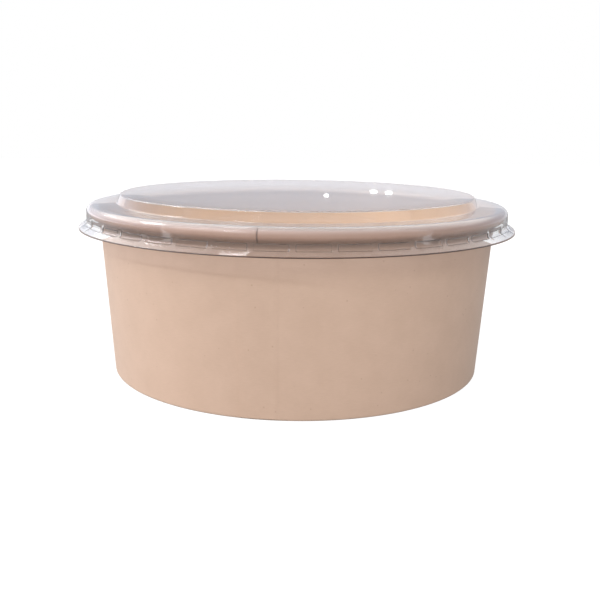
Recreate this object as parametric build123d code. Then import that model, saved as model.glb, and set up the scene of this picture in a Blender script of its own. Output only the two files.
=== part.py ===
from build123d import *
import math
import os

# A round takeout bowl: a tapered wall wrapped from one paperboard blank, glued along a lapped
# side seam, rolled out into a tube at the rim and turned in and up at the foot, where it grips
# the flange of a flat paperboard base. A clear lid, formed from one sheet, sits over the rim.
# Origin at the centre of the foot, +Z up, the seam near the front, which faces -Y. Millimetres.

# Bowl
rim_outer_radius = 75.0      # outside of the rolled rim
bowl_height = 59.5           # foot to the crest of the rolled rim
curl_diameter = 4.0          # outside diameter of the rolled tube
curl_turn = 300.0            # degrees that the board turns in the roll
foot_outer_radius = 67.8     # outside of the wall, taken down to the table
board = 0.45                 # thickness of the coated paperboard
crimp_fit = 0.03             # glue line on each side of the base's flange
foot_radius = 0.5            # rounding of the turned-in foot
hem_height = 5.4             # how far the foot is turned up inside
floor_height = 7.0           # table to the inside floor
flange_bottom = 0.95         # lower edge of the base's flange
floor_bend = 0.9             # outside bend from floor to flange

# Side seam, as angles from the front, positive towards +X
lap_outer_edge = -14.0       # free edge on the outside of the wall
lap_inner_edge = -8.6        # free edge inside, which the roll turns outwards
lap_ramp = 3.0               # degrees over which the pressed lap fades out
lap_step = 0.35              # height of the pressed lap on the wall
lap_step_rim = 0.15          # height of the same lap, rolled flat on the rim

# Lid
sheet = 0.3                  # thickness of the formed sheet
seat_gap = 0.3               # crest of the rim to the underside of the lid
lug_gap = 0.1                # lapped rim to the inside of the snap lugs
lug_depth = 0.35             # how far the lugs are pressed in from the skirt
plate_rise = 3.4             # raised centre above the shelf
plate_radius = 64.1          # raised centre, at its top corner
riser_draft = 1.2            # how far the riser spreads towards its foot
plate_corner = 0.7           # outside rounding of the raised centre's edge
riser_fillet = 0.6           # rounding at the riser's foot
shoulder_radius = 2.5        # outside rounding from shelf to skirt
skirt_bottom = 54.15         # where the skirt turns out into the brim, above the table
brim_radius = 78.65          # outer edge of the flared brim
brim_drop = 1.9              # fall of the brim from the skirt to its edge
brim_fillet = 0.6            # rounding between skirt and brim
lug_count = 40
lug_width = 7.6              # degrees across one lug
lug_phase = 3.6              # centre of the first lug from the front, degrees
lug_low = 54.35              # lower edge of the lugs
lug_flat = 55.4              # top of a lug's flat face
lug_high = 56.6              # where its sloping top runs out into the skirt

os.makedirs("parts", exist_ok=True)

curl_radius = curl_diameter / 2
curl_r = rim_outer_radius - curl_radius
curl_z = bowl_height - curl_radius
wall_top_radius = rim_outer_radius - curl_diameter + board
wall_slope = (wall_top_radius - foot_outer_radius) / curl_z
fold_width = 3 * board + 2 * crimp_fit


def wall_r(z):
    """Outside radius of the tapered wall at height z."""
    return foot_outer_radius + wall_slope * z


def rounded_face(corners):
    """Face from (r, z, rounding) corners, drawn in the plane of the axis."""
    edges = []
    n = len(corners)
    starts = []
    ends = []
    mids = []
    for i in range(n):
        ax, ay, _ = corners[i - 1]
        bx, by, rad = corners[i]
        cx, cy, _ = corners[(i + 1) % n]
        if rad <= 0:
            starts.append((bx, by))
            ends.append((bx, by))
            mids.append(None)
            continue
        ua = Vector(ax - bx, ay - by).normalized()
        uc = Vector(cx - bx, cy - by).normalized()
        half = math.radians(ua.get_angle(uc)) / 2
        reach = rad / math.tan(half)
        centre_dir = (ua + uc).normalized()
        centre = Vector(bx, by) + centre_dir * (rad / math.sin(half))
        mid = centre - centre_dir * rad
        first = Vector(bx, by) + ua * reach
        last = Vector(bx, by) + uc * reach
        starts.append((first.X, first.Y))
        ends.append((last.X, last.Y))
        mids.append((mid.X, mid.Y))
    for i in range(n):
        j = (i + 1) % n
        if mids[i] is not None:
            edges.append(ThreePointArc(starts[i], mids[i], ends[i]))
        if math.dist(ends[i], starts[j]) > 1e-6:
            edges.append(Line(ends[i], starts[j]))
    return make_face(edges)


def turned(face, degrees=360.0, first=0.0):
    """Solid of revolution of a face drawn as (r, z), starting at an angle from the front."""
    solid = revolve(Plane.XZ * face, Axis.Z, degrees)
    return Rot(0, 0, -90 + first) * solid


# Side wall: cone, turned-in foot and rolled rim
cone = rounded_face([
    (wall_r(curl_z), curl_z, 0),
    (wall_r(0), 0, foot_radius),
    (wall_r(0) - fold_width, 0, foot_radius),
    (wall_r(hem_height) - fold_width, hem_height, 0),
    (wall_r(hem_height) - fold_width + board, hem_height, 0),
    (wall_r(board) - fold_width + board, board, 0.15),
    (wall_r(board) - board, board, 0.15),
    (wall_r(curl_z) - board, curl_z, 0),
])
roll = Circle(curl_radius) - Circle(curl_radius - board)
open_angle = 360.0 - curl_turn
wedge = Polyline(
    (0, 0),
    (-2 * curl_radius, 0),
    (-2 * curl_radius, -2 * curl_radius * math.tan(math.radians(open_angle / 2))),
    (2 * curl_radius * math.cos(math.radians(180 + open_angle)),
     2 * curl_radius * math.sin(math.radians(180 + open_angle))),
    close=True,
)
roll = Pos(curl_r, curl_z) * (roll - make_face(wedge))
side_wall = turned(cone + roll)


def lap_ring(z):
    """Outline of the lapped seam at height z, sunk a little into the wall."""
    steps = 6
    outline = []
    for i in range(steps + 1):
        a = lap_outer_edge + (lap_inner_edge - lap_outer_edge) * i / steps
        outline.append((a, wall_r(z) + lap_step))
    outline.append((lap_inner_edge + lap_ramp, wall_r(z) - board / 8))
    for i in range(steps + 1):
        a = lap_inner_edge + lap_ramp - (lap_inner_edge + lap_ramp - lap_outer_edge) * i / steps
        outline.append((a, wall_r(z) - board / 2))
    points = []
    for a, r in outline:
        points.append((r * math.sin(math.radians(a)), -r * math.cos(math.radians(a)), z))
    return Wire.make_polygon([Vector(*p) for p in points], close=True)


lap_top = curl_z - curl_radius + board
lap = Solid.make_loft([lap_ring(foot_radius), lap_ring(lap_top)], ruled=True)
band = Circle(curl_radius + lap_step_rim) - Circle(curl_radius - board / 2)
band = Pos(curl_r, curl_z) * (band & Pos(curl_radius, 0) * Rectangle(2 * curl_radius, 6 * curl_radius))
rim_lap = turned(band, lap_inner_edge - lap_outer_edge, lap_outer_edge)
side_wall = side_wall + lap + rim_lap

# Base: a paperboard disc whose edge is turned down into the foot
flange_out = -board - crimp_fit
flange_in = flange_out - board
base = turned(rounded_face([
    (0, floor_height, 0),
    (wall_r(floor_height) + flange_out, floor_height, floor_bend),
    (wall_r(flange_bottom) + flange_out, flange_bottom, 0),
    (wall_r(flange_bottom) + flange_in, flange_bottom, 0),
    (wall_r(floor_height - board) + flange_in, floor_height - board, floor_bend - board),
    (0, floor_height - board, 0),
]))

# Lid: one formed sheet, as the space under its upper face less the space under its lower face
shelf_z = bowl_height + seat_gap + sheet
skirt_inner = rim_outer_radius + lap_step_rim + lug_gap + lug_depth
skirt_outer = skirt_inner + sheet
upper = [
    (0, shelf_z + plate_rise, 0),
    (plate_radius, shelf_z + plate_rise, plate_corner),
    (plate_radius + riser_draft, shelf_z, riser_fillet),
    (skirt_outer, shelf_z, shoulder_radius),
    (skirt_outer, skirt_bottom, brim_fillet),
    (brim_radius, skirt_bottom - brim_drop, 0),
]


def inward(path, t):
    """The same path moved by t to its lower side, with roundings to match."""
    moved = []
    normals = []
    for i in range(len(path) - 1):
        dx = path[i + 1][0] - path[i][0]
        dz = path[i + 1][1] - path[i][1]
        size = math.hypot(dx, dz)
        normals.append((dz / size, -dx / size))
    for i, (x, z, rad) in enumerate(path):
        before = normals[max(i - 1, 0)]
        after = normals[min(i, len(normals) - 1)]
        sx = before[0] + after[0]
        sz = before[1] + after[1]
        k = 2 / (sx * sx + sz * sz)
        turn = before[0] * after[1] - before[1] * after[0]
        if rad > 0:
            rad = rad - t if turn < 0 else rad + t
        moved.append((x + sx * k * t, z + sz * k * t, rad))
    return moved


lower = inward(upper, sheet)
lid = turned(rounded_face(upper + lower[::-1]))

# Snap lugs: pockets pressed in from the skirt, just under the rolled rim
lug_face = skirt_inner - lug_depth
lug_body = make_face(Polyline(
    (skirt_inner + sheet / 2, lug_high),
    (skirt_inner, lug_high),
    (lug_face, lug_flat),
    (lug_face, lug_low),
    (skirt_inner + sheet / 2, lug_low),
    close=True,
))
pocket = make_face(Polyline(
    (skirt_outer + sheet, lug_high),
    (skirt_outer, lug_high),
    (lug_face + sheet, lug_flat),
    (lug_face + sheet, lug_low + sheet / 2),
    (skirt_outer + sheet, lug_low + sheet / 2),
    close=True,
))
wall_angle = math.degrees(sheet / skirt_outer)
lug_bodies = []
pockets = []
for i in range(lug_count):
    centre = lug_phase + i * 360.0 / lug_count
    lug_bodies.append(turned(lug_body, lug_width, centre - lug_width / 2))
    pockets.append(turned(pocket, lug_width - 2 * wall_angle, centre - lug_width / 2 + wall_angle))
lid = (lid + lug_bodies) - pockets

export_step(side_wall, "parts/side_wall.step")
export_step(base, "parts/base_disc.step")
export_step(lid, "parts/lid.step")

inner_r = wall_r(floor_height) - board
top_r = wall_r(curl_z) - board
depth = bowl_height - floor_height
litres = math.pi * depth * (inner_r ** 2 + inner_r * top_r + top_r ** 2) / 3 / 1e6
print(f"brimful volume {litres:.3f} l, lid top {shelf_z + plate_rise:.2f} mm")
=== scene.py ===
# %% [markdown]
# A kraft paperboard takeout bowl with a clear formed lid. The solids and their sizes come from the packed
# model, and this lesson gives each of the three pieces its finished surface. Profiles are written in
# millimetres, and mm() turns them into the metres of the scene.

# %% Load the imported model
import math

import bpy
from mathutils import Matrix, Vector


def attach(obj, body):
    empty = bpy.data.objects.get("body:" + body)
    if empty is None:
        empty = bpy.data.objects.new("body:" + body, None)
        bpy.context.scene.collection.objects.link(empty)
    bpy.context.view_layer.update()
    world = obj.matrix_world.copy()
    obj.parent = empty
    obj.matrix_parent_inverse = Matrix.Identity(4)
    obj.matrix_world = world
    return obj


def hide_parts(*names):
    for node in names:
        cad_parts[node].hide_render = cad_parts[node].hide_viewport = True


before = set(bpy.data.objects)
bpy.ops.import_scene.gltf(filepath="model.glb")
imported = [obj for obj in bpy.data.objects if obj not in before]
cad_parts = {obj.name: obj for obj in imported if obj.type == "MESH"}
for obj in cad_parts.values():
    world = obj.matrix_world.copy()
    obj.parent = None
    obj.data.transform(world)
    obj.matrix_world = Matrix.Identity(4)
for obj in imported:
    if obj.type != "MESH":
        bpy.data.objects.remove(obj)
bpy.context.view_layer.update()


def mm(value):
    return value / 1000


# %% [markdown]
# The camera comes first. The photograph was taken from close by, a little above the rim, so the near side
# looks much larger than the far side. A camera could be set by eye, but this one was worked out from the
# bowl's outline, so that every size can be compared with the photograph.

# %% Camera
PICTURE_PX = 600
LENS_PX = 788.79
CENTRE_X_PX = 296.08
SENSOR_MM = 36
CAMERA_BACK = mm(293.41)
CAMERA_HIGH = mm(88.77)
TILT_DOWN = 0.2220
ROLL = 0.0119

camera_data = bpy.data.cameras.new("camera")
camera_data.sensor_width = SENSOR_MM
camera_data.lens = LENS_PX / PICTURE_PX * SENSOR_MM
camera_data.shift_x = (PICTURE_PX / 2 - CENTRE_X_PX) / PICTURE_PX
camera_data.clip_start = mm(10)
camera = bpy.data.objects.new("camera", camera_data)
bpy.context.collection.objects.link(camera)
right = Vector((1, 0, 0))
ahead = Vector((0, math.cos(TILT_DOWN), -math.sin(TILT_DOWN)))
up = right.cross(ahead)
rolled_right = right * math.cos(ROLL) + up * math.sin(ROLL)
rolled_up = up * math.cos(ROLL) - right * math.sin(ROLL)
place = [list(v) for v in zip(rolled_right, rolled_up, -ahead, (0, -CAMERA_BACK, CAMERA_HIGH))]
camera.matrix_world = Matrix(place).to_4x4()
bpy.context.scene.camera = camera
bpy.context.scene.view_settings.view_transform = "Standard"
print("lens", round(camera_data.lens, 2), "mm")

# %% [markdown]
# The sizes below repeat those of the solids. Board is drawn by its middle line, so the radius of the roll is
# that of the middle of the board. The wall is a cone, and wall_r() gives its outer radius at a height.

# %% Sizes of the bowl
BOARD = 0.45
GLUE_LINE = 0.03
WALL_FOOT = 67.8
WALL_TOP = 71.45
CURL_R = 73.0
CURL_Z = 57.5
CURL_MID = 1.775
CURL_TURN = 300
FOLD_WIDTH = 3 * BOARD + 2 * GLUE_LINE


def wall_r(z):
    return WALL_FOOT + (WALL_TOP - WALL_FOOT) * z / CURL_Z


print("wall", round(wall_r(0), 2), "to", round(wall_r(CURL_Z), 2), "mm in radius")

# %% [markdown]
# A profile is a list of corners: radius, height and rounding. rounded() turns it into closely spaced points
# with true arcs at the corners, as a folded or formed sheet has, and along() adds points on a straight run.

# %% Profiles
def rounded(corners, per_arc):
    points = []
    for i, (x, y, radius) in enumerate(corners):
        if radius == 0 or i in (0, len(corners) - 1):
            points.append((x, y))
            continue
        here = Vector((x, y))
        to_last = (Vector(corners[i - 1][:2]) - here).normalized()
        to_next = (Vector(corners[i + 1][:2]) - here).normalized()
        half = to_last.angle(to_next) / 2
        reach = radius / math.tan(half)
        centre = here + (to_last + to_next).normalized() * radius / math.sin(half)
        first = here + to_last * reach - centre
        turn = first.angle_signed(here + to_next * reach - centre)
        for k in range(per_arc + 1):
            c = math.cos(-turn * k / per_arc)
            s = math.sin(-turn * k / per_arc)
            arm = Vector((first.x * c - first.y * s, first.x * s + first.y * c))
            points.append(tuple(centre + arm))
    return points


def along(first, last, steps):
    return [tuple(Vector(first).lerp(Vector(last), k / steps)) for k in range(1, steps)]


# %% [markdown]
# Faces are picked in code, by their place. The first helpers open and close edit mode on one piece, and
# pick_faces() selects just the faces that pass a test. Angles are measured from the front.

# %% Helpers for picking
def edit(piece):
    bpy.ops.object.select_all(action="DESELECT")
    piece.select_set(True)
    bpy.context.view_layer.objects.active = piece
    bpy.ops.object.mode_set(mode="EDIT")


def done():
    bpy.ops.object.mode_set(mode="OBJECT")


def pick_faces(piece, wanted):
    edit(piece)
    bpy.ops.mesh.select_mode(type="FACE")
    bpy.ops.mesh.select_all(action="DESELECT")
    done()
    count = 0
    for face in piece.data.polygons:
        face.select = wanted(face)
        count += face.select
    bpy.ops.object.mode_set(mode="EDIT")
    return count


def from_front(point):
    return math.degrees(math.atan2(point.x, -point.y))


def radius_mm(point):
    return math.hypot(point.x, point.y) * 1000


# %% [markdown]
# All three pieces are round, so each is made the way a ring is raised by hand: a circle is added at the
# first point of the profile, then extruded and scaled from point to point. A spin would do as well, but a
# circle keeps its columns closed all round. A small first circle is merged to close the centre.

# %% Raise a ring
def raise_ring(name, path, columns, first_angle=0.0, close_centre=False):
    radius, height = path[0]
    bpy.ops.object.select_all(action="DESELECT")
    bpy.ops.mesh.primitive_circle_add(
        vertices=columns, radius=mm(radius), location=(0, 0, mm(height)), rotation=(0, 0, first_angle))
    piece = bpy.context.object
    piece.name = name
    bpy.ops.object.transform_apply(location=True, rotation=True, scale=True)
    edit(piece)
    bpy.ops.mesh.select_mode(type="VERT")
    bpy.ops.mesh.select_all(action="SELECT")
    for r, z in path[1:]:
        bpy.ops.mesh.extrude_region_move(TRANSFORM_OT_translate={"value": (0, 0, mm(z - height))})
        bpy.ops.transform.resize(value=(r / radius, r / radius, 1), center_override=(0, 0, 0))
        radius, height = r, z
    if close_centre:
        bpy.ops.mesh.select_all(action="DESELECT")
        done()
        for v in piece.data.vertices:
            v.select = radius_mm(v.co) < path[0][0] * 1.01
        bpy.ops.object.mode_set(mode="EDIT")
        bpy.ops.mesh.select_mode(type="VERT")
        bpy.ops.mesh.merge(type="CENTER")
    done()
    return piece


# %% [markdown]
# Solidify gives the sheet its real thickness, so that a board shows its cut edge and the clear lid refracts
# like a thin shell. Shading is smooth over the roundings and sharp at the cut edges.

# %% Thickness and shading
def thicken(piece, thickness, offset):
    bpy.context.view_layer.objects.active = piece
    solid = piece.modifiers.new("thickness", "SOLIDIFY")
    solid.thickness = mm(thickness)
    solid.offset = offset
    solid.use_even_offset = True
    bpy.ops.object.modifier_apply(modifier=solid.name)


def smooth(piece, angle):
    bpy.ops.object.select_all(action="DESELECT")
    piece.select_set(True)
    bpy.context.view_layer.objects.active = piece
    bpy.ops.object.shade_smooth_by_angle(angle=math.radians(angle))


# %% [markdown]
# The side wall is one strip of board. Its lower edge is turned in and up, which makes the foot, and its
# upper edge is rolled outwards into a tube, which makes the rim stiff and kind to the lips. A closed outline
# could be turned instead, but one middle line with an even thickness is what board is. The row just above
# the foot keeps the shading of the fold from running up the wall.

# %% Side wall
HEM_HEIGHT = 5.4
FOOT_BEND = 0.28
FOOT_ROW = 0.012
WALL_ROWS = 12
CURL_STEPS = 30
WALL_COLUMNS = 400

hem_shift = BOARD / 2 - FOLD_WIDTH
strip = rounded([
    (wall_r(HEM_HEIGHT) + hem_shift, HEM_HEIGHT, 0),
    (wall_r(0) + hem_shift, BOARD / 2, FOOT_BEND),
    (wall_r(0) - BOARD / 2, BOARD / 2, FOOT_BEND),
    (wall_r(CURL_Z) - BOARD / 2, CURL_Z, 0),
], per_arc=5)
foot_end = strip[-2]
wall_end = strip[-1]
just_above = tuple(Vector(foot_end).lerp(Vector(wall_end), FOOT_ROW))
strip = strip[:-1] + [just_above] + along(foot_end, wall_end, WALL_ROWS)
for k in range(CURL_STEPS + 1):
    a = math.radians(180 - CURL_TURN * k / CURL_STEPS)
    strip.append((CURL_R + CURL_MID * math.cos(a), CURL_Z + CURL_MID * math.sin(a)))
side_wall = raise_ring("side_wall_board", strip, WALL_COLUMNS)
thicken(side_wall, BOARD, offset=0)
print("side wall", len(side_wall.data.polygons), "faces")

# %% [markdown]
# The blank's two ends overlap by about 7 mm and are glued. The outer layer's edge stands proud of the wall.
# On the rim it is the other way about: since the board is rolled outwards, the inner layer's edge shows
# there. These tests tell which faces belong to the lap, to the outside of the wall and to the roll.

# %% Where the seam lies
LAP_OUTER = -14.0
LAP_INNER = -8.6
FOOT_BAND = 0.6
ROLL_BAND = 55.4


def lap_face(face, low, high):
    return low < from_front(face.center) < high


def outside(face):
    r = radius_mm(face.center)
    z = face.center.z * 1000
    radial = (face.normal.x * face.center.x + face.normal.y * face.center.y) / mm(r)
    return FOOT_BAND < z < ROLL_BAND and radial > 0.5 and r > wall_r(z) - 0.1


def on_roll(face):
    r = radius_mm(face.center) - CURL_R
    z = face.center.z * 1000 - CURL_Z
    return math.hypot(r, z) > CURL_MID + 0.1 and (z > -0.2 or r > -0.9)


print("lap", round(math.radians(LAP_INNER - LAP_OUTER) * wall_r(CURL_Z / 2), 1), "mm wide")

# %% [markdown]
# Each step of the lap is made by picking its faces, extruding them outwards, and letting the far side fade
# into the board, because there the pressed layers lie flush. A separate strip laid on the wall would show
# two edges, and the real seam shows only one. The faded side keeps a hundredth of its step, so that its
# side faces don't shrink to nothing.

# %% Side seam
WALL_STEP = 0.22
WALL_FADE = (-12.0, -4.6)
ROLL_STEP = 0.15
ROLL_FADE = (LAP_INNER - 3, -18.0)
FADED_SHARE = 0.99


def raise_lap(wanted, height, fade):
    count = pick_faces(side_wall, wanted)
    bpy.ops.mesh.extrude_region_shrink_fatten(TRANSFORM_OT_shrink_fatten={"value": mm(height)})
    done()
    raised = [v for v in side_wall.data.vertices if v.select]
    normals = {v.index: v.normal.copy() for v in raised}
    for v in raised:
        share = min(max((from_front(v.co) - fade[0]) / (fade[1] - fade[0]), 0), 1)
        v.co -= normals[v.index] * mm(height) * share * share * (3 - 2 * share) * FADED_SHARE
    print("lap", count, "faces")


raise_lap(lambda face: outside(face) and lap_face(face, LAP_OUTER, WALL_FADE[1]), WALL_STEP, WALL_FADE)
raise_lap(lambda face: on_roll(face) and lap_face(face, ROLL_FADE[1], LAP_INNER), ROLL_STEP, ROLL_FADE)
smooth(side_wall, angle=35)

# %% [markdown]
# A board has a direction: its fibres lie mostly along the machine. So the pattern must follow the blank and
# not the space round it. The map below unrolls the blank: u runs round the bowl from the seam and v up the
# wall and over the roll, both in metres, so that a pattern keeps its real size.

# %% Unroll the blank
BLANK_R = 70
ROLL_REACH = 2.4


def height_on_blank(r, z):
    from_roll = math.hypot(r - CURL_R, z - CURL_Z)
    if z > CURL_Z - ROLL_REACH and from_roll < ROLL_REACH and r > WALL_TOP - 0.8:
        way_round = CURL_MID * (math.pi - math.atan2(z - CURL_Z, r - CURL_R))
        return CURL_Z + way_round % (2 * math.pi * CURL_MID)
    return z


def unroll(piece, seam_angle):
    layer = piece.data.uv_layers.new(name="blank")
    for face in piece.data.polygons:
        middle = (from_front(face.center) - seam_angle) % 360
        for loop in face.loop_indices:
            co = piece.data.vertices[piece.data.loops[loop].vertex_index].co
            turn = (from_front(co) - seam_angle) % 360
            if turn - middle > 180:
                turn -= 360
            if middle - turn > 180:
                turn += 360
            v = height_on_blank(radius_mm(co), co.z * 1000)
            layer.data[loop].uv = (math.radians(turn) * mm(BLANK_R), mm(v))
    print("unrolled", len(layer.data), "corners")


unroll(side_wall, LAP_OUTER)

# %% [markdown]
# The base is a disc of the same board. Its edge is turned down, and the foot of the wall is folded round it,
# so the floor stands 7 mm above the table and the bowl rests on the fold. A flat plate would do for the view
# from above, but from below the bend between the floor and its turned edge shows.

# %% Base disc
FLOOR_TOP = 7
FLOOR_MID = FLOOR_TOP - BOARD / 2
FLOOR_BEND = 0.675
FLANGE_LOW = 0.95
BASE_COLUMNS = 240

flange_shift = -1.5 * BOARD - GLUE_LINE
disc = rounded([
    (2, FLOOR_MID, 0),
    (wall_r(FLOOR_TOP) + flange_shift, FLOOR_MID, FLOOR_BEND),
    (wall_r(FLANGE_LOW) + flange_shift, FLANGE_LOW, 0),
], per_arc=6)
disc = disc[:1] + along(disc[0], disc[1], steps=6) + disc[1:]
base_disc = raise_ring("base_board", disc, BASE_COLUMNS, close_centre=True)
thicken(base_disc, BOARD, offset=0)
smooth(base_disc, angle=35)
print("base", len(base_disc.data.polygons), "faces")

# %% [markdown]
# The lid is one sheet of clear plastic, softened by heat and sucked over a mould, so every corner is a
# little round. The raised centre is flat, and so it mirrors the room in straight bands. The brim flares out
# and its last 0.4 mm is turned down, because the trimmed edge shows as a thin line in the photograph. The
# outer face is raised as a ring, whose columns start where a lug starts. The sheet is thickened later.

# %% Lid sheet
LID_COLUMNS = 480
SHEET = 0.3
LID_TOP = 63.5
PLATE_R = 64.1
RISER_R = 65.3
SHELF = 60.1
SKIRT_OUT = 75.9
SKIRT_LOW = 54.15
BRIM_R = 78.65
BRIM_Z = 52.25
FLARE_AT_LUGS = 0.743
LUG_LOW = 53.65
LUG_HIGH = 55.4
SKIRT_ROWS = (56.5, LUG_HIGH, 54.9)
LUG_PITCH = 9.0
LUG_FIRST = 3.6
LUG_HALF = 3.75

lid_path = rounded([
    (1, LID_TOP, 0),
    (PLATE_R, LID_TOP, 0.7),
    (RISER_R, SHELF, 0.6),
    (SKIRT_OUT, SHELF, 2.5),
    (SKIRT_OUT, SKIRT_LOW, 0.6),
    (SKIRT_OUT + FLARE_AT_LUGS, LUG_LOW, 0),
    (BRIM_R, BRIM_Z + 0.05, 0.4),
    (BRIM_R, BRIM_Z - 0.35, 0),
], per_arc=9)
plate = along(lid_path[0], lid_path[1], steps=8)
shoulder_end = [i for i, p in enumerate(lid_path) if abs(p[0] - SKIRT_OUT) < 1e-4][0]
skirt = [(SKIRT_OUT, z) for z in SKIRT_ROWS]
lid_path = lid_path[:1] + plate + lid_path[1:shoulder_end + 1] + skirt + lid_path[shoulder_end + 1:]
lid_start = math.radians(LUG_FIRST - LUG_HALF)
lid = raise_ring("lid_sheet", lid_path, LID_COLUMNS, lid_start, close_centre=True)
edit(lid)
bpy.ops.mesh.select_all(action="SELECT")
if lid.data.polygons[0].normal.z < 0:
    bpy.ops.mesh.flip_normals()
done()
print("lid sheet", len(lid.data.polygons), "faces")

# %% [markdown]
# Just under the rolled rim the skirt has a ring of shallow pockets, the lugs, which slip under the roll and
# hold the lid. They reach from the skirt into the first part of the brim. Forty cutters would leave sharp
# corners, which a formed sheet can't have, so all pockets are pressed in at once: their faces are picked by
# angle and height and inset three times, which gives soft sides and a flat floor.

# %% Lugs
LUG_SIDE = 0.1
LUG_DEPTHS = (0.05, 0.15, 0.05)


def in_lug(face):
    z = face.center.z * 1000
    off = (from_front(face.center) - LUG_FIRST + LUG_PITCH / 2) % LUG_PITCH - LUG_PITCH / 2
    return LUG_LOW < z < LUG_HIGH and radius_mm(face.center) > SKIRT_OUT - 0.1 and abs(off) < LUG_HALF


print("lug faces", pick_faces(lid, in_lug))
for depth in LUG_DEPTHS:
    bpy.ops.mesh.inset(thickness=mm(LUG_SIDE), depth=-mm(depth), use_even_offset=True)
done()
thicken(lid, SHEET, offset=-1)
smooth(lid, angle=50)
print("lid", len(lid.data.polygons), "faces")

# %% [markdown]
# Materials start from what the real ones are. One function turns a hex colour, as read from a picture, into
# the linear values that the renderer needs, and one adds a node with its settings and links.

# %% Material helpers
def colour(code):
    parts = [int(code[i:i + 2], 16) / 255 for i in (1, 3, 5)]
    return tuple(c / 12.92 if c <= 0.04045 else ((c + 0.055) / 1.055) ** 2.4 for c in parts) + (1,)


def add(tree, kind, inputs=None, **settings):
    node = tree.nodes.new(kind)
    for name, value in settings.items():
        setattr(node, name, value)
    for name, value in (inputs or {}).items():
        if isinstance(value, bpy.types.NodeSocket):
            tree.links.new(value, node.inputs[name])
        else:
            node.inputs[name].default_value = value
    return node


def new_material(name):
    material = bpy.data.materials.new(name)
    material.use_nodes = True
    material.node_tree.nodes.clear()
    return material, material.node_tree


# %% [markdown]
# Kraft board is unbleached wood pulp. It is a warm brown, matt, and never quite even: clouds of denser pulp
# about a centimetre across, fibres about 2 mm long that lie mostly round the bowl, and a few darker specks
# of bark. Real fibres are 0.03 mm thick, too fine to show, so they are drawn 0.25 mm thick, in three layers
# that cross at an angle. A stretched noise does this without any picture.

# %% Pulp pattern
FIBRE_SCALE = (450, 4000, 4000)
FIBRE_LAYERS = ((0.12, 0), (-0.3, 4), (0.9, 9))
CLOUDS_PER_METRE = 110.0
SPECK_CELLS_PER_METRE = 260.0


def fibres(tree, place):
    layers = []
    for turn, shift in FIBRE_LAYERS:
        lie = add(tree, "ShaderNodeMapping", {
            "Vector": place, "Rotation": (0, 0, turn), "Location": (shift, shift, 0), "Scale": FIBRE_SCALE})
        noise = add(tree, "ShaderNodeTexNoise", {
            "Vector": lie.outputs["Vector"], "Scale": 1.0, "Detail": 2.0})
        layers.append(noise.outputs["Fac"])
    two = add(tree, "ShaderNodeMix", {"Factor": 0.5, "A": layers[0], "B": layers[1]}, data_type="FLOAT")
    three = {"Factor": 0.3, "A": two.outputs["Result"], "B": layers[2]}
    return add(tree, "ShaderNodeMix", three, data_type="FLOAT").outputs["Result"]


def pulp_colour(tree, place, fibre, dark, light):
    cloud = add(tree, "ShaderNodeTexNoise", {
        "Vector": place, "Scale": CLOUDS_PER_METRE, "Detail": 3.0, "Roughness": 0.6})
    mixed = {"Factor": 0.45, "A": fibre, "B": cloud.outputs["Fac"]}
    tone = add(tree, "ShaderNodeMix", mixed, data_type="FLOAT").outputs["Result"]
    ramp = add(tree, "ShaderNodeValToRGB", {"Fac": tone})
    for stop, position, code in zip(ramp.color_ramp.elements, (0.3, 0.7), (dark, light)):
        stop.position = position
        stop.color = colour(code)
    cells = add(tree, "ShaderNodeTexVoronoi", {"Vector": place, "Scale": SPECK_CELLS_PER_METRE})
    speck = add(tree, "ShaderNodeMapRange", {
        "Value": cells.outputs["Distance"], "From Min": 0.05, "From Max": 0.09,
        "To Min": 0.35, "To Max": 0.0})
    bark = {"Factor": speck.outputs["Result"], "A": ramp.outputs["Color"], "B": colour("#A98470")}
    return add(tree, "ShaderNodeMix", bark, data_type="RGBA").outputs["Result"]


# %% [markdown]
# On the rolled rim the board's colour carries painted light: its crest is painted pale and greyish, a
# painted sheen, the side turned under is painted browner and darker, a painted shade, and the whole roll is
# painted darker than the rest of the filmed side for the shade under the lid. The edge of the inner layer,
# cut across
# the pulp, is a dark line along the seam: partly the cut edge, partly painted shadow of the gap under it.
# Both depend only on where a point lies on the blank, so the unrolled map places them.

# %% Painted sheen and shade on the rolled rim, and the seam edge
ROLL_STARTS = (57.5, 60.0)
PAINTED_SHEEN_TO_SHADE = (59.8, 63.6)
EDGE_LINE = (0.12, 0.3)
SEAM_U = math.radians(LAP_INNER - LAP_OUTER) * mm(BLANK_R)


# Painted light: a painted sheen on the crest, a painted shade under the roll and over the whole roll.
def roll_painted_sheen_and_shade(tree, place, board):
    on_blank = add(tree, "ShaderNodeSeparateXYZ", {0: place})
    v = on_blank.outputs["Y"]
    under = add(tree, "ShaderNodeMapRange", {
        "Value": v, "From Min": mm(PAINTED_SHEEN_TO_SHADE[0]), "From Max": mm(PAINTED_SHEEN_TO_SHADE[1])})
    # The pale grey crest colour is a painted sheen; the brown colour of the side turned under is a painted
    # shade.
    turned = {"Factor": under.outputs["Result"], "A": colour("#B2ADAB"), "B": colour("#B48972")}
    painted_sheen_and_shade = add(tree, "ShaderNodeMix", turned, data_type="RGBA").outputs["Result"]
    rolled = add(tree, "ShaderNodeMapRange", {
        "Value": v, "From Min": mm(ROLL_STARTS[0]), "From Max": mm(ROLL_STARTS[1]), "To Max": 0.85})
    blended = {"Factor": rolled.outputs["Result"], "A": board, "B": painted_sheen_and_shade}
    return add(tree, "ShaderNodeMix", blended, data_type="RGBA").outputs["Result"]


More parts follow.
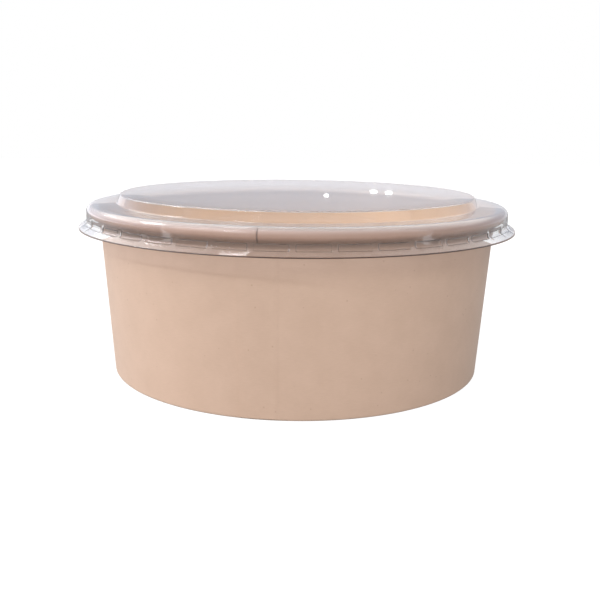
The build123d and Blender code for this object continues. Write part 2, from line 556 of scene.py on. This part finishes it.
# A dark line at the seam: the inner layer's cut edge, with a painted shadow of the gap under it.
def seam_edge_and_shadow(tree, place, board):
    on_blank = add(tree, "ShaderNodeSeparateXYZ", {0: place})
    off = add(tree, "ShaderNodeMath", {0: on_blank.outputs["X"], 1: SEAM_U}, operation="SUBTRACT")
    off = add(tree, "ShaderNodeMath", {0: off.outputs["Value"]}, operation="ABSOLUTE")
    edge = add(tree, "ShaderNodeMapRange", {
        "Value": off.outputs["Value"], "From Min": mm(EDGE_LINE[0]), "From Max": mm(EDGE_LINE[1]),
        "To Min": 0.8, "To Max": 0.0})
    # The dark colour here is partly the cut edge and partly painted shadow.
    cut = {"Factor": edge.outputs["Result"], "A": board, "B": colour("#5C463A")}
    return add(tree, "ShaderNodeMix", cut, data_type="RGBA").outputs["Result"]


# %% [markdown]
# One function makes all the boards. Bare kraft is matt with a slight sheen of loose fibres. The side that
# faces the food carries a thin clear film, which is a coat with a soft gloss. Its pulp is painted a little
# lighter and warmer than the bare side, a painted light that stands in for the brighter light inside the
# bowl. The flat base has no unrolled map, so its pattern lies in Object coordinates.

# %% Kraft board
BARE = 0.62
FILMED = 0.55


def kraft(name, roughness, part, dark="#C8AA95", light="#D3B5A1"):
    material, tree = new_material(name)
    if part == "base":
        place = add(tree, "ShaderNodeTexCoord").outputs["Object"]
    else:
        place = add(tree, "ShaderNodeUVMap", uv_map="blank").outputs["UV"]
    fibre = fibres(tree, place)
    board = pulp_colour(tree, place, fibre, dark, light)
    if part == "inside":
        board = roll_painted_sheen_and_shade(tree, place, board)
        board = seam_edge_and_shadow(tree, place, board)
    grain = add(tree, "ShaderNodeBump", {"Height": fibre, "Strength": 0.25, "Distance": mm(0.06)})
    surface = add(tree, "ShaderNodeBsdfPrincipled", {
        "Base Color": board, "Roughness": roughness, "IOR": 1.45, "Normal": grain.outputs["Normal"],
        "Sheen Weight": 0.15, "Sheen Roughness": 0.5})
    if part == "inside":
        surface.inputs["Coat Weight"].default_value = 0.6
        surface.inputs["Coat Roughness"].default_value = 0.22
    add(tree, "ShaderNodeOutputMaterial", {"Surface": surface.outputs["BSDF"]})
    print("made", name)
    return material


kraft_outside = kraft("kraft board, uncoated side", BARE, "outside")
# The filmed side's lighter colours are painted light, for the brighter light inside the bowl.
kraft_inside = kraft("kraft board, filmed side", FILMED, "inside", "#E0C5A8", "#E9D0B4")
kraft_base = kraft("kraft board, base", BARE, "base")
kraft_floor = kraft("kraft board, filmed base", FILMED, "base", "#D4B69C", "#DEC2A8")

# %% [markdown]
# The filmed side of the blank faces the food, and since the rim is rolled outwards it also ends up on the
# outside of the roll. That is why the rim shines a little and the wall doesn't. On the base only the floor
# that is seen from above is filmed. The faces are told apart by their place and the way they point.

# %% Put the boards on the wall and the base
FLOOR_LOW = 6.2

side_wall.data.materials.append(kraft_outside)
side_wall.data.materials.append(kraft_inside)
filmed_count = 0
for face in side_wall.data.polygons:
    r = radius_mm(face.center)
    z = face.center.z * 1000
    radial = face.normal.x * face.center.x + face.normal.y * face.center.y
    food_side = radial < 0 and z < CURL_Z and r > wall_r(z) - BOARD - 0.1
    face.material_index = 1 if food_side or on_roll(face) else 0
    filmed_count += face.material_index
base_disc.data.materials.append(kraft_base)
base_disc.data.materials.append(kraft_floor)
for face in base_disc.data.polygons:
    face.material_index = 1 if face.normal.z > 0.3 and face.center.z > mm(FLOOR_LOW) else 0
print("filmed faces on the wall", filmed_count)

# %% [markdown]
# The lid is clear PET, thermoformed: hardly rough, with a faint ripple from the mould. Glass-like refraction
# draws the lines of its folds. PET's IOR is 1.57. At that value the thin walls mirrored more than in the
# photograph, so it is 1.5 here, with a tinted reflection and a small share that is plainly open. A renderer
# can't carry lamplight through refraction well, so for shadows and for light bounced off the board the
# sheet is see-through, and darker where it is seen edge on, as a real one is.

# %% Clear PET
RIPPLES_PER_METRE = 90.0
OPEN_SHARE = 0.18
EDGE_ON_POWER = 3.0

pet, tree = new_material("clear PET, thermoformed")
spot = add(tree, "ShaderNodeTexCoord").outputs["Object"]
ripple = add(tree, "ShaderNodeTexNoise", {"Vector": spot, "Scale": RIPPLES_PER_METRE, "Detail": 1.0})
wave = add(tree, "ShaderNodeBump", {
    "Height": ripple.outputs["Fac"], "Strength": 0.04, "Distance": mm(0.1)})
clear = add(tree, "ShaderNodeBsdfPrincipled", {
    "Base Color": colour("#FAFAFC"), "Roughness": 0.02, "IOR": 1.5, "Transmission Weight": 1.0,
    "Specular Tint": colour("#A0A0A4"), "Normal": wave.outputs["Normal"]})
open_part = add(tree, "ShaderNodeBsdfTransparent", {"Color": colour("#F6F6F8")})
seen = add(tree, "ShaderNodeMixShader", {
    0: OPEN_SHARE, 1: clear.outputs["BSDF"], 2: open_part.outputs["BSDF"]})
facing = add(tree, "ShaderNodeLayerWeight", {"Blend": 0.5}).outputs["Facing"]
edge_on = add(tree, "ShaderNodeMath", {0: facing, 1: EDGE_ON_POWER}, operation="POWER").outputs["Value"]
veil = add(tree, "ShaderNodeMix", {
    "Factor": edge_on, "A": colour("#F8F8FA"), "B": colour("#606062")}, data_type="RGBA")
thin = add(tree, "ShaderNodeBsdfTransparent", {"Color": veil.outputs["Result"]})
ray = add(tree, "ShaderNodeLightPath")
lighting = add(tree, "ShaderNodeMath", {
    0: ray.outputs["Is Shadow Ray"], 1: ray.outputs["Is Diffuse Ray"]}, operation="MAXIMUM")
both = add(tree, "ShaderNodeMixShader", {
    0: lighting.outputs["Value"], 1: seen.outputs["Shader"], 2: thin.outputs["BSDF"]})
add(tree, "ShaderNodeOutputMaterial", {"Surface": both.outputs["Shader"]})
lid.data.materials.append(pet)
print("lid is", pet.name)

# %% [markdown]
# The sheet is trimmed after forming. What enters the cut edge is carried along inside the sheet, so the edge
# looks darker than the faces and draws a thin line round the brim. Refraction alone loses that line at this
# size, so the turned-down edge has a painted dark line instead: see-through but dim, a painted shade, with a
# soft gleam.

# %% Trimmed edge
GLEAM_SHARE = 0.12

trimmed, tree = new_material("clear PET, trimmed edge")
# The dim tint is a painted shade for the dark line that refraction draws at the edge.
dim = add(tree, "ShaderNodeBsdfTransparent", {"Color": colour("#AE998A")})
gleam = add(tree, "ShaderNodeBsdfGlossy", {"Color": colour("#FFFFFF"), "Roughness": 0.3})
rim_line = add(tree, "ShaderNodeMixShader", {
    0: GLEAM_SHARE, 1: dim.outputs["BSDF"], 2: gleam.outputs["BSDF"]})
add(tree, "ShaderNodeOutputMaterial", {"Surface": rim_line.outputs["Shader"]})
lid.data.materials.append(trimmed)
edge_count = 0
for face in lid.data.polygons:
    if face.center.z < mm(BRIM_Z - 0.05):
        face.material_index = 1
        edge_count += 1
print("edge faces", edge_count)

# %% [markdown]
# The finished pieces stand for the plain solids and ride on the same bodies, so the lid lifts as before.

# %% Ride on the bodies
for piece, node, body, slot in (
    (side_wall, "side_wall", "bowl", "kraft_board"),
    (base_disc, "base_disc", "bowl", "kraft_board_base"),
    (lid, "lid", "lid", "clear_sheet"),
):
    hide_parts(node)
    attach(piece, body)
    print(piece.name, "rides on", body)

# %% [markdown]
# The object stands on a floor that is a middle grey to the light, so that little is thrown up at the board.
# To the camera, and through the lid, a glow lifts it to the white of the photograph's background. A plain
# white floor would do for the camera, but would throw too much light up at the wall.

# %% Floor
CAMERA_LIFT = 0.86
THROUGH_LIFT = 0.77
MIRROR_LIFT = 0.1

bpy.ops.object.select_all(action="DESELECT")
bpy.ops.mesh.primitive_plane_add(size=3, location=(0, 0, 0))
floor = bpy.context.object
floor.name = "floor"
paper, tree = new_material("white floor")
ray = add(tree, "ShaderNodeLightPath")
matt = add(tree, "ShaderNodeBsdfDiffuse", {"Color": colour("#808080")})
lift = add(tree, "ShaderNodeMath", {
    0: ray.outputs["Is Camera Ray"], 1: CAMERA_LIFT}, operation="MULTIPLY")
for kind, level in (("Is Transmission Ray", THROUGH_LIFT), ("Is Glossy Ray", MIRROR_LIFT)):
    lift = add(tree, "ShaderNodeMath", {
        0: ray.outputs[kind], 1: level, 2: lift.outputs["Value"]}, operation="MULTIPLY_ADD")
glow = add(tree, "ShaderNodeEmission", {"Color": (1, 1, 1, 1), "Strength": lift.outputs["Value"]})
total = add(tree, "ShaderNodeAddShader", {0: matt.outputs["BSDF"], 1: glow.outputs["Emission"]})
add(tree, "ShaderNodeOutputMaterial", {"Surface": total.outputs["Shader"]})
floor.data.materials.append(paper)
print("floor", floor.dimensions.x, "m wide")

# %% [markdown]
# The surround has two looks. To the camera it is plain white. In what the lid mirrors it is a room: a pale
# floor, a thin dark line, a grey band, a second dark line, a grey wall, and a white ceiling that darkens
# overhead. The flat centre of the lid mirrors only a narrow band of it, so the stops there lie close
# together. The room is a colour ramp over height, bent at both sides, so that its lines curve.

# %% The room that the lid mirrors
BEND = -0.24
BEND_LIMIT = 0.06
ROOM = (
    (0.0842, "#9298A6"), (0.085, "#9298A6"), (0.0862, "#AEB4C0"), (0.0975, "#AEB4C0"),
    (0.0985, "#8C92A0"), (0.0993, "#8C92A0"), (0.1003, "#A8AEBA"), (0.3, "#A6ACB8"),
    (0.85, "#FFFFFF"), (0.95, "#8C8C90"),
)

world = bpy.data.worlds.new("surround")
bpy.context.scene.world = world
world.use_nodes = True
tree = world.node_tree
tree.nodes.clear()
spot = add(tree, "ShaderNodeTexCoord").outputs["Generated"]
way = add(tree, "ShaderNodeSeparateXYZ", {0: spot})
bend = add(tree, "ShaderNodeMath", {0: way.outputs["X"], 1: way.outputs["X"]}, operation="MULTIPLY")
bend = add(tree, "ShaderNodeMath", {0: bend.outputs["Value"], 1: BEND_LIMIT}, operation="MINIMUM")
height = add(tree, "ShaderNodeMath", {
    0: bend.outputs["Value"], 1: BEND, 2: way.outputs["Z"]}, operation="MULTIPLY_ADD")
room = add(tree, "ShaderNodeValToRGB", {"Fac": height.outputs["Value"]})
room.color_ramp.elements[0].position = 0.0825
room.color_ramp.elements[0].color = colour("#D2D2D8")
room.color_ramp.elements[1].position = 0.45
room.color_ramp.elements[1].color = colour("#FFFFFF")
for position, code in ROOM:
    room.color_ramp.elements.new(position).color = colour(code)
print("room stops", len(room.color_ramp.elements))

# %% [markdown]
# In the mirrored room the front, behind the camera, is darker, and the left is brighter. What is seen
# through the lid is darker at the front too, but only above the horizon. The board gets an even light of its
# own, kept lower than white, so that it keeps its colour. Light Path tells the kinds of ray apart.

# %% Surround
AMBIENT = 0.61

front = add(tree, "ShaderNodeMapRange", {
    "Value": way.outputs["Y"], "From Min": -0.75, "From Max": 0.25, "To Min": 0.12, "To Max": 1.0})
side = add(tree, "ShaderNodeMapRange", {
    "Value": way.outputs["X"], "From Min": -0.8, "From Max": -0.2, "To Min": 3.6, "To Max": 1.4})
mirrored = add(tree, "ShaderNodeMath", {
    0: front.outputs["Result"], 1: side.outputs["Result"]}, operation="MULTIPLY")
low = add(tree, "ShaderNodeMath", {0: way.outputs["Z"], 1: 0.0}, operation="LESS_THAN")
through = add(tree, "ShaderNodeMath", {
    0: front.outputs["Result"], 1: low.outputs["Value"]}, operation="MAXIMUM")
ray = add(tree, "ShaderNodeLightPath")
tone = add(tree, "ShaderNodeMix", {
    "Factor": ray.outputs["Is Glossy Ray"], "A": (1, 1, 1, 1), "B": room.outputs["Color"]}, data_type="RGBA")
level = 1.0
for kind, strength in (
    ("Is Glossy Ray", mirrored.outputs["Value"]),
    ("Is Transmission Ray", through.outputs["Value"]),
    ("Is Diffuse Ray", AMBIENT),
):
    chosen = {"Factor": ray.outputs[kind], "A": level, "B": strength}
    level = add(tree, "ShaderNodeMix", chosen, data_type="FLOAT").outputs["Result"]
sky = add(tree, "ShaderNodeBackground", {"Color": tone.outputs["Result"], "Strength": level})
add(tree, "ShaderNodeOutputWorld", {"Surface": sky.outputs["Background"]})
print("ambient level", AMBIENT)

# %% [markdown]
# A key lamp stands high at the front left, where the shadow of the brim on the wall says that it stood. A
# large panel further left brightens that side, and a top light stands behind. Three far windows, low behind
# the object, are there to be mirrored in the flat centre of the lid. Two wide fills light the board evenly,
# and are hidden from the lid, which would otherwise mirror them as white sheets.

# %% Lamps
LAMP_DISTANCE = 4.0
AIM_HEIGHT = mm(40)
WINDOW_TALL = 0.013


def lamp(name, azimuth, elevation, wide, tall, level):
    a, e = math.radians(azimuth), math.radians(elevation)
    way = Vector((math.sin(a) * math.cos(e), -math.cos(a) * math.cos(e), math.sin(e)))
    where = way * LAMP_DISTANCE
    data = bpy.data.lights.new(name, "AREA")
    data.shape = "ELLIPSE"
    data.size = wide
    data.size_y = tall
    data.energy = level * math.pi ** 2 * LAMP_DISTANCE ** 2
    thing = bpy.data.objects.new(name, data)
    thing.location = where + Vector((0, 0, AIM_HEIGHT))
    thing.rotation_euler = (-where).to_track_quat("-Z", "Y").to_euler()
    bpy.context.collection.objects.link(thing)
    print(name, "at", azimuth, elevation)
    return thing


lamp("key", -38, 40, 0.6, 0.3, 0.25)
lamp("left panel", -104, 42, 0.8, 0.9, 0.22)
lamp("top light", -133, 70, 0.6, 0.5, 0.045)
for number, azimuth, elevation, wide, level in (
    (1, 177.75, 5.5, 0.026, 0.000025),
    (2, 174.1, 5.15, 0.04, 0.00004),
    (3, 172.95, 5.2, 0.04, 0.00004),
):
    lamp(f"far window {number}", azimuth, elevation, wide, WINDOW_TALL, level)
for name, azimuth, elevation, level in (("front fill", 11, 38, 0.53), ("left fill", -96, 30, 0.56)):
    fill = lamp(name, azimuth, elevation, 1.6, 1.6, level)
    fill.visible_glossy = False
    fill.visible_transmission = False
